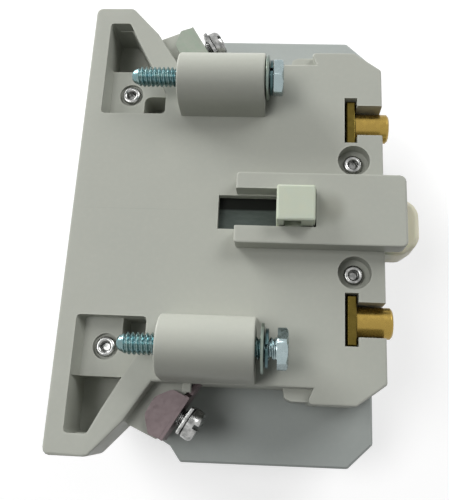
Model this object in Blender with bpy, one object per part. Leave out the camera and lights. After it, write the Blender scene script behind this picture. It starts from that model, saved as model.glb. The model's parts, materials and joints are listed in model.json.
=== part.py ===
"""Auxiliary contact block for the side of a large contactor.

A moulded front housing with two winged ends, two barrels for captive screws
and a fork guide, a rear housing with a barrier plate between two levels of
terminals, and the contact mechanism between them: a sprung slide that carries
one normally closed and one normally open bridge.

The block lies on its back. X runs along the slide from the foot face, Y runs
from the middle plane towards the upper terminals, Z runs up from the back.
Lengths are in millimetres until a mesh is made.
"""

import math

import bmesh
import bpy
from mathutils import Matrix, Vector

MM = 0.001
GAP = 0.3                     # clearance between pieces that seat on each other
THIN_GAP = 0.2                # clearance between stacked washers

# Housings
BODY_LENGTH = 73.8            # foot face to the right edge
BODY_HALF = 39.4              # half height of the body along Y
FRONT_DEPTH = 17.3            # mounting face to the barrier plate
REAR_DEPTH = 17.7             # barrier plate's top to the back
WALL = 2.2                    # face, back and side walls
EDGE_ROUND = 0.5              # rounded rim of the mounting face
BLOCK_LENGTH = 17.4           # wide block at the right end
BLOCK_STEP = 3.4              # how far it stands past the body's flank
BLOCK_SLANT = 1.4             # lean of its left flank
BLOCK_CHAMFER_X = 6.6
BLOCK_CHAMFER_Y = 4.8
LEDGE_LENGTH = 5.3            # small ledge in the corner beside the block
LEDGE_DROP = 2.0

# Wings
WING_STEP = 16.2              # past the body's flank
WING_DEPTH = 13.0
WING_TIP = 9.8                # length of the wing's outer edge
WING_KINK_X = 16.9            # where the steep flank meets the flared rib
WING_KINK_STEP = 8.7
WING_ROOT_X = 22.6            # where the wing's flank meets the body
WING_CORNER = 1.6

# Barrels and captive screws
BARREL_LENGTH = 21.0
BARREL_START = 24.4
BARREL_BASE = 7.3             # half width at the face
BARREL_RADIUS = 6.85
BARREL_CENTRE = 4.2           # height of the arch's centre over the face
BARREL_INSET = 0.2            # from the body's flank to the barrel's
SCREW_HEIGHT = 6.2            # screw axis over the face
SCREW_DIAMETER = 4.83         # No. 10 thread
SCREW_LENGTH = 34.2           # under the head
SCREW_TIP = 2.2
HEAD_FLATS = 7.94
HEAD_THICK = 2.3
HEAD_TURN = 12.5              # degrees that each hexagon leans outwards
RECESS_REACH = 2.4            # cross recess in the head
RECESS_HALF = 0.55
RECESS_DEPTH = 1.3
BORE_CLEARANCE = 0.3
WASHER_DIAMETER = 10.7
WASHER_THICK = 0.7
LOCK_DIAMETER = 8.4
LOCK_THICK = 0.7
LOCK_SPLIT = 0.8
LOWER_SLIP = 2.6              # the lower screw is drawn back by this much
WASHER_SLIP = 0.95            # and its washers by this much

# Pockets in the wings, measured from the rivet that stands in them
POCKET_LEFT = 4.2
POCKET_NEAR_REACH = 6.7
POCKET_KNEE_REACH = 0.9       # where the pocket's slanted side starts
POCKET_STEP_REACH = 6.7       # the deep apex starts here
POCKET_MARGIN = 4.7           # from the pocket's far edge to the wing's
POCKET_TIP = 5.15             # length of the pocket's far edge
POCKET_SHORT = 2.25           # from the pocket's right wall to the wing's root
POCKET_FLOOR = 3.5
POCKET_DRAFT = 1.2            # lean of the pocket's left wall
APEX_DEPTH = 11.6
APEX_INSET = 0.15
HATCH_LENGTH = 5.4            # deep square hole beside the rivet
HATCH_WIDTH = 6.3
HATCH_MARGIN = 0.7            # from the hole to the pocket's right wall
HATCH_DEPTH = 11.5

# Tubular rivets
RIVET_SHANK = 1.6
RIVET_BORE = 1.05
RIVET_HEAD = 2.4
RIVET_HEAD_THICK = 0.9
RIVET_LEFT_X = 10.65
RIVET_MARGIN = 6.9            # from the right rivets to the right edge
RIVET_CLEAR = 6.25            # from the nose's flank to the right rivets
COUNTERBORE = 3.83
COUNTERBORE_DEPTH = 3.4
LEFT_RECESS = 3.0
LEFT_RECESS_DEPTH = 0.8
BACK_COUNTERBORE = 3.2
BACK_COUNTERBORE_DEPTH = 1.7

# Brass inserts
INSERT_SPACING = 10.55        # from the right rivet beside it
FLANGE_MARGIN = 9.1           # from the flange slot's left wall to the right edge
FLANGE_SLOT = 3.1
FLANGE_HALF = 5.95
FLANGE_DROP = 1.3             # from the face down to the flange
FLANGE_PLAY = 0.6             # on the flange's left
SPIGOT_RADIUS = 3.6
SPIGOT_AXIS = 5.0             # below the face
SPIGOT_REACH = 1.85           # past the right edge
SPIGOT_BORE = 1.65
SPIGOT_BORE_DEPTH = 6.0
SLOT_FLOOR = 9.0              # depth of the insert's slot

# Fork guide and actuator window, measured from the right edge
GUIDE_LENGTH = 34.4
GUIDE_OVERHANG = 4.5          # past the right edge
GUIDE_HALF = 8.55
GUIDE_HEIGHT = 4.6
GUIDE_CORNER = 1.5
SLOT_MARGIN = 15.9
SLOT_HALF = 4.5
WINDOW_MARGIN = 38.7
WINDOW_HALF = 4.15

# Terminals: the plate leans parallel to the wing's flank
TERMINAL_ANGLE = 59.0
PLATE_SPACING = 3.6           # from the wing's root to a point on the plate
PLATE_STEP = 8.6              # of that point past the body's flank
PLATE_THICK = 1.2
PLATE_OUT = 3.6               # plate's reach outward from that point
PLATE_TOP = 2.6               # below the face
PLATE_WIDTH = 6.8
PLATE_END = 7.2               # the plate's full height ends here
STRIP_DROP = 2.2              # how much lower the strip is that enters the wall
BEND_REACH = 5.0              # from the wall's inside to the strip's first bend
TAB_THICK = 1.0
SHELF_DROP = 3.9
SHELF_LEFT = 5.1              # left of the wing's root
SHELF_STEP = 9.3
CLAMP_OFFSET = 2.7            # screw axis from that point, along the plate
CLAMP_RADIUS = 1.95
CLAMP_REACH = 4.0             # shank behind the plate
CLAMP_HEAD = 3.6
CLAMP_HEAD_THICK = 2.8
CLAMP_OPEN = 1.1              # how far the terminals stand open
CLAMP_SLOT = 1.0
CLAMP_WASHER = 6.6
CLAMP_WASHER_THICK = 0.8
LUG_REACH = 1.9               # small lug over the strip where it enters the wall
LUG_WIDTH = 2.0
LUG_INSET = 0.5               # from the plate's line to the lug's middle
LUG_TOP = 0.8                 # below the face
LUG_BOTTOM = 2.0

# Barrier plate of the rear housing
BARRIER_STEP = 17.1           # past the body's flank
BARRIER_SHORT = 1.0           # left of the right edge
BARRIER_THICK = 3.0
BARRIER_CHAMFER_X = 5.9
BARRIER_CHAMFER_Y = 5.6
BARRIER_LEFT = 2.3            # left of the wing's root
BARRIER_CORNER = 5.0          # right of the wing's root
BARRIER_TAPER = 0.35          # how much wider the barrier's left end is
REAR_SHORT = 1.4

# Slide, bridges and springs
TRAVEL = 6.0
WIPE = 1.2
CAGE_LENGTH = 23.5
CAGE_MARGIN = 13.8            # from the cage to the right edge
CAGE_HALF = 7.2
CAGE_DEPTH = 6.6              # cage below the face, and above the back
BRIDGE_DEPTH = 12.0           # centre of the front bridge below the face
BRIDGE_WIDTH = 6.0
BRIDGE_THICK = 1.2
BRIDGE_OVERLAP = 2.5          # past its contacts
BRIDGE_END = 2.4
CONTACT_INSET = 19.4          # from the contacts to the body's flank
DOME = 0.6
DOME_RADIUS = 1.9
CLOSED_INSET = 9.3            # closed bridge's left face from the cage's right end
OPEN_INSET = 14.6             # open bridge's left face from there
PAD_REACH = 3.0               # from a contact to its strip's end
CORNER_REACH = {"front": 5.5, "rear": 9.5}
BUTTON_INSET = 11.1           # button's left face from the cage's right end
BUTTON_LENGTH = 8.7
BUTTON_HEIGHT = 8.6
NECK_HALF = 3.8
NOSE_HALF = 7.4
NOSE_REACH = 9.4              # past the right edge
NOSE_THICK = 9.6
NOSE_ROUND = 1.2
RAIL_INSET = 0.6
RAIL_WIDTH = 1.6
CHEEK_WIDTH = 1.8
CHEEK_HEIGHT = 2.0            # how far the cheeks reach up the cage's sides
ANVIL_THICK = 2.2             # rib behind each fixed contact's pad
ANVIL_REACH = 5.0
SHIELD_THICK = 0.8            # dark strip that closes the window from below
SHIELD_HALF = 4.7
SHIELD_LAP = 0.9              # past the window's left end
SPRING_ROOM = 16.5            # from the return spring's seat to the cage
SEAT_THICK = 2.5
SEAT_HALF = 6.0
STUB_RADIUS = 2.2
STUB_LENGTH = 2.6
RETURN_RADIUS = 3.4
RETURN_WIRE = 0.8
RETURN_TURNS = 6
CONTACT_SPRING_RADIUS = 2.1
CONTACT_WIRE = 0.6
CONTACT_TURNS = 5

# Values worked out from those above
FACE = FRONT_DEPTH + REAR_DEPTH
CENTRE_X = (BODY_LENGTH + NOSE_REACH) / 2
BLOCK_HALF = BODY_HALF + BLOCK_STEP
BARRIER_HALF = BODY_HALF + BARRIER_STEP
WING_REACH = BODY_HALF + WING_STEP
WING_KINK_Y = BODY_HALF + WING_KINK_STEP
SCREW_Y = BODY_HALF - BARREL_INSET - BARREL_BASE
SCREW_Z = FACE + SCREW_HEIGHT
BARREL_END = BARREL_START + BARREL_LENGTH
POCKET_NEAR = SCREW_Y - POCKET_NEAR_REACH
POCKET_KNEE = SCREW_Y - POCKET_KNEE_REACH
POCKET_STEP = SCREW_Y + POCKET_STEP_REACH
POCKET_FAR = WING_REACH - POCKET_MARGIN
POCKET_RIGHT = WING_ROOT_X - POCKET_SHORT
POCKET_LENGTH = POCKET_RIGHT - POCKET_LEFT
STEP_X = BODY_LENGTH - BLOCK_LENGTH
RIVET_RIGHT_Y = NOSE_HALF + RIVET_CLEAR
INSERT_Y = RIVET_RIGHT_Y + INSERT_SPACING
FLANGE_X = BODY_LENGTH - FLANGE_MARGIN
RIVET_RIGHT_X = BODY_LENGTH - RIVET_MARGIN
GUIDE_START = BODY_LENGTH - GUIDE_LENGTH
SLOT_END = BODY_LENGTH - SLOT_MARGIN
WINDOW_START = BODY_LENGTH - WINDOW_MARGIN
PLATE_POINT = Vector((WING_ROOT_X + PLATE_SPACING, BODY_HALF + PLATE_STEP))
PLATE_DIRECTION = Vector((math.cos(math.radians(TERMINAL_ANGLE)),
                          -math.sin(math.radians(TERMINAL_ANGLE))))
PLATE_NORMAL = Vector((-PLATE_DIRECTION.y, PLATE_DIRECTION.x))
CLAMP_DEPTH = PLATE_TOP + PLATE_WIDTH / 2
BARRIER_END = BODY_LENGTH - BARRIER_SHORT
REAR_END = BODY_LENGTH - REAR_SHORT
CAGE_END = BODY_LENGTH - CAGE_MARGIN
CAGE_START = CAGE_END - CAGE_LENGTH
CAGE_TOP = FACE - CAGE_DEPTH
SHIELD_LOW = FACE - WALL - GAP - SHIELD_THICK
SEAT_X = CAGE_START - SPRING_ROOM
BUTTON_START = CAGE_END - BUTTON_INSET
CLOSED_X = CAGE_END - CLOSED_INSET
OPEN_X = CAGE_END - OPEN_INSET
CLOSED_PAD = CLOSED_X + BRIDGE_THICK + DOME + GAP + DOME
OPEN_PAD = OPEN_X - DOME - TRAVEL - GAP - DOME
CONTACT_Y = BODY_HALF - CONTACT_INSET
BRIDGE_HALF = CONTACT_Y + BRIDGE_OVERLAP
PAD_NEAR = CONTACT_Y - PAD_REACH
CAVITY_LEFT = WALL + GAP
CAVITY_RIGHT = CAGE_END + 1.5
CAVITY_HALF = BODY_HALF - WALL - GAP
CAVITY_NEAR = POCKET_NEAR - WALL - GAP

UPPER = 1
LOWER = -1
SIDES = {"upper": UPPER, "lower": LOWER}
LEVELS = ("front", "rear")


def clear_scene():
    """Empties the file of objects."""
    for old in list(bpy.data.objects):
        bpy.data.objects.remove(old, do_unlink=True)


def make_material(name, colour, roughness, metallic=0.0):
    """A Principled material."""
    material = bpy.data.materials.new(name)
    material.use_nodes = True
    shader = material.node_tree.nodes["Principled BSDF"]
    shader.inputs["Base Color"].default_value = (*colour, 1.0)
    shader.inputs["Roughness"].default_value = roughness
    shader.inputs["Metallic"].default_value = metallic
    material.diffuse_color = (*colour, 1.0)
    return material


def make_object(name, mesh_builder, material, origin=(0.0, 0.0, 0.0)):
    """An object from a bmesh in millimetres, with its origin at a given point."""
    mesh = bpy.data.meshes.new(name)
    bmesh.ops.recalc_face_normals(mesh_builder, faces=mesh_builder.faces)
    start = Vector(origin)
    bmesh.ops.translate(mesh_builder, verts=mesh_builder.verts, vec=-start)
    bmesh.ops.scale(mesh_builder, verts=mesh_builder.verts, vec=(MM, MM, MM))
    mesh_builder.to_mesh(mesh)
    mesh_builder.free()
    piece = bpy.data.objects.new(name, mesh)
    piece.location = start * MM
    piece.parent = bpy.data.objects.get("block")
    bpy.context.collection.objects.link(piece)
    if material:
        mesh.materials.append(material)
    return piece


def rounded(corners, steps=3):
    """An outline from (x, y, radius) corners, with an arc at each one."""
    outline = []
    count = len(corners)
    for index, (x, y, radius) in enumerate(corners):
        here = Vector((x, y))
        before = Vector(corners[index - 1][:2]) - here
        after = Vector(corners[(index + 1) % count][:2]) - here
        if radius <= 0.0:
            outline.append(here)
            continue
        half = before.angle(after) / 2
        reach = min(radius / math.tan(half), 0.49 * before.length, 0.49 * after.length)
        fitted = reach * math.tan(half)
        middle = (before.normalized() + after.normalized()).normalized()
        centre = here + middle * (fitted / math.sin(half))
        first = here + before.normalized() * reach - centre
        last = here + after.normalized() * reach - centre
        turn = first.angle_signed(last)
        for step in range(steps + 1):
            outline.append(centre + Matrix.Rotation(-turn * step / steps, 2) @ first)
    return outline


def mirrored(half):
    """A closed outline from its upper half, given from left to right."""
    lower = [(corner[0], -corner[1], *corner[2:]) for corner in reversed(half)]
    return list(half) + lower


def prism_mesh(outline, low, high, axis="Z", rim=0.0, rim_steps=2, both_rims=False):
    """A bmesh that fills an outline between two heights, with rounded rims."""
    place = {
        "X": lambda point, height: (height, point[0], point[1]),
        "Y": lambda point, height: (point[0], height, point[1]),
        "Z": lambda point, height: (point[0], point[1], height),
    }[axis]
    builder = bmesh.new()
    verts = [builder.verts.new(place(point, low)) for point in outline]
    floor = builder.faces.new(verts)
    grown = bmesh.ops.extrude_face_region(builder, geom=[floor])
    top = [item for item in grown["geom"] if isinstance(item, bmesh.types.BMVert)]
    shift = Vector(place((0.0, 0.0), high - low))
    bmesh.ops.translate(builder, verts=top, vec=shift)
    bmesh.ops.recalc_face_normals(builder, faces=builder.faces)
    if rim > 0.0:
        top_set = set(top)
        edges = [edge for edge in builder.edges if set(edge.verts) <= top_set]
        if both_rims:
            edges += [edge for edge in builder.edges if not set(edge.verts) & top_set]
        bmesh.ops.bevel(builder, geom=edges, offset=rim, segments=rim_steps,
                        profile=0.5, affect="EDGES", clamp_overlap=True)
    return builder


def prism(name, outline, low, high, material=None, origin=(0.0, 0.0, 0.0), **options):
    """An object that fills an outline between two heights."""
    return make_object(name, prism_mesh(outline, low, high, **options), material, origin)


def box_outline(left, right, bottom, top):
    """A rectangle's four corners."""
    return [(left, bottom), (right, bottom), (right, top), (left, top)]


def turned_mesh(profile, steps, closed):
    """Turns a profile of (radius, height) points about Z."""
    builder = bmesh.new()
    verts = [builder.verts.new((radius, 0.0, height)) for radius, height in profile]
    edges = [builder.edges.new(pair) for pair in zip(verts, verts[1:])]
    if closed:
        edges.append(builder.edges.new((verts[-1], verts[0])))
    bmesh.ops.spin(builder, geom=verts + edges, axis=(0.0, 0.0, 1.0), cent=(0.0, 0.0, 0.0),
                   angle=math.tau, steps=steps, use_merge=True)
    bmesh.ops.remove_doubles(builder, verts=builder.verts, dist=0.0001)
    return builder


def turned(name, profile, at, direction, material, steps=24, closed=False, start=0.0):
    """A turned object whose profile's height runs along a direction from a point."""
    builder = turned_mesh(profile, steps, closed)
    spin = Matrix.Rotation(start, 4, "Z")
    aim = Vector(direction).to_track_quat("Z", "Y").to_matrix().to_4x4()
    move = Matrix.Translation(Vector(at))
    bmesh.ops.transform(builder, matrix=move @ aim @ spin, verts=builder.verts)
    return make_object(name, builder, material, at)


def smooth(piece, angle=35.0):
    """Shades a round piece smooth, apart from its sharp edges."""
    piece.data.shade_smooth()
    piece.data.set_sharp_from_angle(angle=math.radians(angle))


def combine(target, tool, operation):
    """Adds a Boolean of a tool, which is kept as a hidden guide."""
    tool.hide_render = True
    tool.display_type = "WIRE"
    step = target.modifiers.new(tool.name, "BOOLEAN")
    step.operation = operation
    step.solver = "EXACT"
    step.object = tool


def cut(target, tool):
    """Takes a tool's volume away."""
    combine(target, tool, "DIFFERENCE")


def fuse(target, tool):
    """Joins a tool's volume on."""
    combine(target, tool, "UNION")


def face_down(depth):
    """Height of a point that lies below the mounting face."""
    return FACE - depth


def level_span(level, near, far):
    """Heights of a stretch that runs from near to far below its level's own face."""
    if level == "front":
        return FACE - far, FACE - near
    return near, far


def on_side(points, side):
    """Takes an outline drawn for the upper side to the given side."""
    return [(point[0], side * point[1], *point[2:]) for point in points]


def on_plate(along, outward):
    """A point in the terminal plate's own directions, for the upper side."""
    return PLATE_POINT + PLATE_DIRECTION * along + PLATE_NORMAL * outward


def along_to(y):
    """How far along the terminal plate's line a given Y is reached."""
    return (PLATE_POINT.y - y) / -PLATE_DIRECTION.y


def wing_outline():
    """The mounting face with both wings and the wide block."""
    half = [
        (0.0, WING_REACH, WING_CORNER),
        (WING_TIP, WING_REACH, WING_CORNER),
        (WING_KINK_X, WING_KINK_Y, 1.2),
        (WING_ROOT_X, BODY_HALF, 0.0),
        (STEP_X + BLOCK_SLANT, BODY_HALF, 0.0),
        (STEP_X, BLOCK_HALF, 0.8),
        (BODY_LENGTH - BLOCK_CHAMFER_X, BLOCK_HALF, 0.8),
        (BODY_LENGTH, BLOCK_HALF - BLOCK_CHAMFER_Y, 0.8),
    ]
    return rounded(mirrored(half))


def pocket_outline(side):
    """The wing's pocket, a triangle with a cut tip and a square foot."""
    corners = [
        (POCKET_LEFT, POCKET_NEAR, 0.8),
        (POCKET_RIGHT, POCKET_NEAR, 0.8),
        (POCKET_RIGHT, POCKET_KNEE, 0.6),
        (POCKET_LEFT + POCKET_TIP, POCKET_FAR, 0.8),
        (POCKET_LEFT, POCKET_FAR, 0.8),
    ]
    return on_side(rounded(corners, 2), side)


def apex_outline(side):
    """The part of the pocket past the step, which is deeper."""
    slope = (POCKET_LENGTH - POCKET_TIP) / (POCKET_FAR - POCKET_KNEE)
    right = POCKET_LEFT + POCKET_TIP + slope * (POCKET_FAR - POCKET_STEP)
    corners = [
        (POCKET_LEFT + APEX_INSET, POCKET_STEP, 0.0),
        (right - APEX_INSET, POCKET_STEP, 0.0),
        (POCKET_LEFT + POCKET_TIP - APEX_INSET, POCKET_FAR - APEX_INSET, 0.8),
        (POCKET_LEFT + APEX_INSET, POCKET_FAR - APEX_INSET, 0.8),
    ]
    return on_side(rounded(corners, 2), side)


def shelf_outline(side):
    """The plinth between the wing's flank and the terminal plate."""
    inner = BODY_HALF - 1.0
    outer = on_plate(-PLATE_OUT, 0.2 - GAP)
    foot = on_plate(along_to(inner), 0.2 - GAP)
    corners = [
        (WING_ROOT_X - 2.0, inner),
        (WING_KINK_X - 1.0, WING_KINK_Y - 1.0),
        (WING_ROOT_X - SHELF_LEFT, BODY_HALF + SHELF_STEP),
        (outer.x - 0.4, outer.y + 0.4),
        (outer.x, outer.y),
        (foot.x, foot.y),
    ]
    return on_side(corners, side)


def cavity_outline():
    """The hollow round the mechanism, clear of the wings' pockets."""
    half = [
        (CAVITY_LEFT, CAVITY_NEAR),
        (POCKET_RIGHT + WALL, CAVITY_NEAR),
        (WING_ROOT_X + WALL, CAVITY_HALF),
        (CAVITY_RIGHT, CAVITY_HALF),
    ]
    return mirrored(half)


def barrel_profile(side):
    """An arch on straight, slightly drafted walls, drawn in Y and Z."""
    centre = side * SCREW_Y
    crown = FACE + BARREL_CENTRE
    arc = 12
    points = [(centre + BARREL_BASE, FACE - 1.0), (centre + BARREL_BASE, FACE)]
    for step in range(arc + 1):
        angle = math.pi * step / arc
        points.append((centre + BARREL_RADIUS * math.cos(angle),
                       crown + BARREL_RADIUS * math.sin(angle)))
    points += [(centre - BARREL_BASE, FACE), (centre - BARREL_BASE, FACE - 1.0)]
    return points


def cylinder_tool(name, at, direction, radius, length, steps=24):
    """A plain cylinder for cutting or joining, from a point along a direction."""
    circle = [Vector((radius * math.cos(math.tau * step / steps),
                      radius * math.sin(math.tau * step / steps))) for step in range(steps)]
    builder = prism_mesh(circle, 0.0, length)
    aim = Vector(direction).to_track_quat("Z", "Y").to_matrix().to_4x4()
    bmesh.ops.transform(builder, matrix=Matrix.Translation(Vector(at)) @ aim,
                        verts=builder.verts)
    return make_object(name, builder, None, at)


def add_barrel(housing, label, side):
    """Joins one barrel on and bores it for its captive screw."""
    barrel = prism("barrel_" + label, barrel_profile(side), BARREL_START, BARREL_END,
                   axis="X", rim=0.6, rim_steps=2, both_rims=True)
    fuse(housing, barrel)
    bore = cylinder_tool("barrel_bore_" + label, (BARREL_START - 2.0, side * SCREW_Y, SCREW_Z),
                         (1, 0, 0), SCREW_DIAMETER / 2 + BORE_CLEARANCE, BARREL_LENGTH + 4.0)
    cut(housing, bore)


def pocket_tool(label, side):
    """The pocket's shape, with a left wall that leans inwards as it goes down."""
    builder = prism_mesh(pocket_outline(side), face_down(POCKET_FLOOR), FACE + 2.0)
    for vert in builder.verts:
        share = (POCKET_RIGHT - vert.co.x) / POCKET_LENGTH
        vert.co.x += share * POCKET_DRAFT * (FACE - vert.co.z) / POCKET_FLOOR
    return make_object("pocket_" + label, builder, None)


def cut_wing(housing, label, side):
    """Cuts the wing's back away and its pockets in."""
    relief = [(-2.0, BODY_HALF), (-2.0, WING_REACH + 4.0),
              (WING_ROOT_X + 8.0, WING_REACH + 4.0), (WING_ROOT_X, BODY_HALF)]
    cut(housing, prism("wing_relief_" + label, on_side(relief, side),
                       REAR_DEPTH - 2.0, face_down(WING_DEPTH)))
    cut(housing, pocket_tool(label, side))
    cut(housing, prism("apex_" + label, apex_outline(side), face_down(APEX_DEPTH), FACE + 1.0))
    right = POCKET_RIGHT - HATCH_MARGIN
    hatch = [
        (right - HATCH_LENGTH, POCKET_NEAR + 0.05, 0.0),
        (right, POCKET_NEAR + 0.05, 0.8),
        (right, POCKET_NEAR + HATCH_WIDTH, 0.0),
        (right - HATCH_LENGTH, POCKET_NEAR + HATCH_WIDTH, 1.6),
    ]
    cut(housing, prism("hatch_" + label, on_side(rounded(hatch), side),
                       face_down(HATCH_DEPTH), FACE + 1.5))


def cut_insert_slot(housing, label, side):
    """Cuts the T slot that a brass insert drops into."""
    top = FACE + 1.0
    flange = box_outline(FLANGE_X, FLANGE_X + FLANGE_SLOT,
                         INSERT_Y - FLANGE_HALF, INSERT_Y + FLANGE_HALF)
    cut(housing, prism("flange_slot_" + label, on_side(flange, side),
                       face_down(SLOT_FLOOR), top))
    half = SPIGOT_RADIUS + GAP
    stem = box_outline(FLANGE_X + FLANGE_SLOT - 1.0, BODY_LENGTH + 2.0,
                       INSERT_Y - half, INSERT_Y + half)
    cut(housing, prism("stem_slot_" + label, on_side(stem, side),
                       face_down(SLOT_FLOOR), top + 0.5))


def rivet_places():
    """Where each rivet stands, with the depth of its front seat."""
    left = POCKET_FLOOR + LEFT_RECESS_DEPTH
    return {
        "left_upper": (RIVET_LEFT_X, SCREW_Y, left),
        "left_lower": (RIVET_LEFT_X, -SCREW_Y, left),
        "right_upper": (RIVET_RIGHT_X, RIVET_RIGHT_Y, COUNTERBORE_DEPTH),
        "right_lower": (RIVET_RIGHT_X, -RIVET_RIGHT_Y, COUNTERBORE_DEPTH),
    }


def cut_rivet_holes(housing, prefix, low, high):
    """Drills the four rivet holes through a housing."""
    for label, (x, y, _) in rivet_places().items():
        cut(housing, cylinder_tool(prefix + label, (x, y, low), (0, 0, 1),
                                   RIVET_SHANK + GAP, high - low, 20))


def terminal_slit(name, side, level):
    """Room for the fixed contact where it passes the body's wall."""
    inner = BODY_HALF - WALL - 3.0
    first = -PLATE_OUT - 2.0
    last = along_to(inner)
    corners = [on_plate(first, -GAP), on_plate(last, -GAP),
               on_plate(last, PLATE_THICK + GAP), on_plate(first, PLATE_THICK + GAP)]
    low, high = level_span(level, PLATE_TOP - GAP, PLATE_TOP + PLATE_WIDTH + GAP)
    return prism(name, on_side(corners, side), low, high)


def shank_pocket(name, side, level):
    """Room in the plinth for the end of the terminal screw."""
    half = CLAMP_RADIUS + GAP
    corners = [on_plate(CLAMP_OFFSET - half, 1.0), on_plate(CLAMP_OFFSET + half, 1.0),
               on_plate(CLAMP_OFFSET + half, -CLAMP_REACH - GAP),
               on_plate(CLAMP_OFFSET - half, -CLAMP_REACH - GAP)]
    low, high = level_span(level, SHELF_DROP - 1.0, CLAMP_DEPTH + half)
    return prism(name, on_side(corners, side), low, high)


def add_lug(housing, label, side):
    """Joins on the small lug that covers the strip where it enters the wall."""
    middle = on_plate(along_to(BODY_HALF + LUG_REACH / 2), 0.0).x - LUG_INSET
    lug = box_outline(middle - LUG_WIDTH / 2, middle + LUG_WIDTH / 2,
                      BODY_HALF - 0.8, BODY_HALF + LUG_REACH)
    fuse(housing, prism("lug_" + label, on_side(lug, side), face_down(LUG_BOTTOM),
                        face_down(LUG_TOP), rim=0.2, rim_steps=1))


def add_shelf(housing, label, side, level, low, high):
    """Joins a terminal's plinth on and cuts it for the contact and screw."""
    name = level + "_" + label
    fuse(housing, prism("shelf_" + name, shelf_outline(side), low, high))
    cut(housing, terminal_slit("slit_" + name, side, level))
    cut(housing, shank_pocket("shank_pocket_" + name, side, level))


def make_front_housing(material):
    """The moulded front shell: face, wings, barrels, guide and plinths."""
    low = REAR_DEPTH + GAP / 2
    housing = prism("front_housing", wing_outline(), low, FACE, material, rim=EDGE_ROUND)
    cut(housing, prism("front_cavity", cavity_outline(), low - 2.0, face_down(WALL)))
    for label, side in SIDES.items():
        cut_wing(housing, label, side)
        add_shelf(housing, label, side, "front", low, face_down(SHELF_DROP))
        add_lug(housing, label, side)
        ledge = [(STEP_X - LEDGE_LENGTH, BODY_HALF - 1.0, 0.0),
                 (STEP_X - LEDGE_LENGTH + 0.7, BODY_HALF + 2.2, 0.6),
                 (STEP_X - LEDGE_LENGTH + 2.1, BLOCK_HALF - 0.6, 0.8),
                 (STEP_X + 2.0, BLOCK_HALF - 0.6, 0.0),
                 (STEP_X + 2.0, BODY_HALF - 1.0, 0.0)]
        fuse(housing, prism("ledge_" + label, on_side(rounded(ledge), side),
                            low, face_down(LEDGE_DROP)))
        add_barrel(housing, label, side)
        cut_insert_slot(housing, label, side)
        cut(housing, cylinder_tool("counterbore_" + label,
                                   (RIVET_RIGHT_X, side * RIVET_RIGHT_Y,
                                    face_down(COUNTERBORE_DEPTH)),
                                   (0, 0, 1), COUNTERBORE, COUNTERBORE_DEPTH + 1.0, 28))
        cut(housing, cylinder_tool("left_recess_" + label,
                                   (RIVET_LEFT_X, side * SCREW_Y,
                                    face_down(POCKET_FLOOR + LEFT_RECESS_DEPTH)),
                                   (0, 0, 1), LEFT_RECESS, 3.0, 24))
    add_guide(housing)
    add_runners(housing, "front")
    nose_room = box_outline(CAVITY_RIGHT - 1.0, BODY_LENGTH + 2.0,
                            -NOSE_HALF - GAP, NOSE_HALF + GAP)
    cut(housing, prism("nose_room", nose_room, low - 3.0, CAGE_TOP + GAP))
    cut_rivet_holes(housing, "front_rivet_hole_", low - 1.0, FACE + 1.0)
    return housing


def add_guide(housing):
    """The raised guide, forked round the actuator slot, and its window."""
    end = BODY_LENGTH + GUIDE_OVERHANG
    outline = rounded([(GUIDE_START, -GUIDE_HALF, 0.8), (end, -GUIDE_HALF, GUIDE_CORNER),
                       (end, GUIDE_HALF, GUIDE_CORNER), (GUIDE_START, GUIDE_HALF, 0.8)])
    fuse(housing, prism("guide", outline, FACE - 0.02, FACE + GUIDE_HEIGHT, rim=0.5, rim_steps=2))
    slot = box_outline(GUIDE_START - 1.0, SLOT_END, -SLOT_HALF, SLOT_HALF)
    cut(housing, prism("guide_slot", slot, FACE, FACE + GUIDE_HEIGHT + 1.0))
    window = box_outline(WINDOW_START, SLOT_END, -WINDOW_HALF, WINDOW_HALF)
    cut(housing, prism("window", window, FACE - WALL - 1.0, FACE + 1.0))


def add_runners(housing, level):
    """Ribs that carry the cage, cheeks beside it and an anvil behind each pad."""
    floor = WALL - 1.0
    if level == "front":
        anvil = CLOSED_PAD + PLATE_THICK + GAP
    else:
        anvil = OPEN_PAD - PLATE_THICK - GAP - ANVIL_THICK
    for label, side in SIDES.items():
        name = level + "_" + label
        inner = CAGE_HALF - RAIL_INSET - RAIL_WIDTH
        rail = box_outline(CAGE_START - TRAVEL, CAGE_END, inner, inner + RAIL_WIDTH)
        low, high = level_span(level, floor, CAGE_DEPTH - GAP)
        fuse(housing, prism("rail_" + name, on_side(rail, side), low, high))
        beside = max(CAGE_HALF, NOSE_HALF) + GAP
        cheek = box_outline(CAGE_START - TRAVEL, CAGE_END, beside, beside + CHEEK_WIDTH)
        low, high = level_span(level, floor, CAGE_DEPTH + CHEEK_HEIGHT)
        fuse(housing, prism("cheek_" + name, on_side(cheek, side), low, high))
        rib = box_outline(anvil, anvil + ANVIL_THICK, PAD_NEAR, PAD_NEAR + ANVIL_REACH)
        low, high = level_span(level, floor, BRIDGE_DEPTH + BRIDGE_WIDTH / 2)
        fuse(housing, prism("anvil_" + name, on_side(rib, side), low, high))


def rear_outline():
    """The rear shell behind the barrier plate."""
    half = [
        (0.0, BODY_HALF, 1.0),
        (WING_ROOT_X, BODY_HALF, 0.0),
        (REAR_END - BLOCK_CHAMFER_X, BODY_HALF, 0.6),
        (REAR_END, BODY_HALF - BLOCK_CHAMFER_Y, 0.6),
    ]
    return rounded(mirrored(half))


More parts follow.
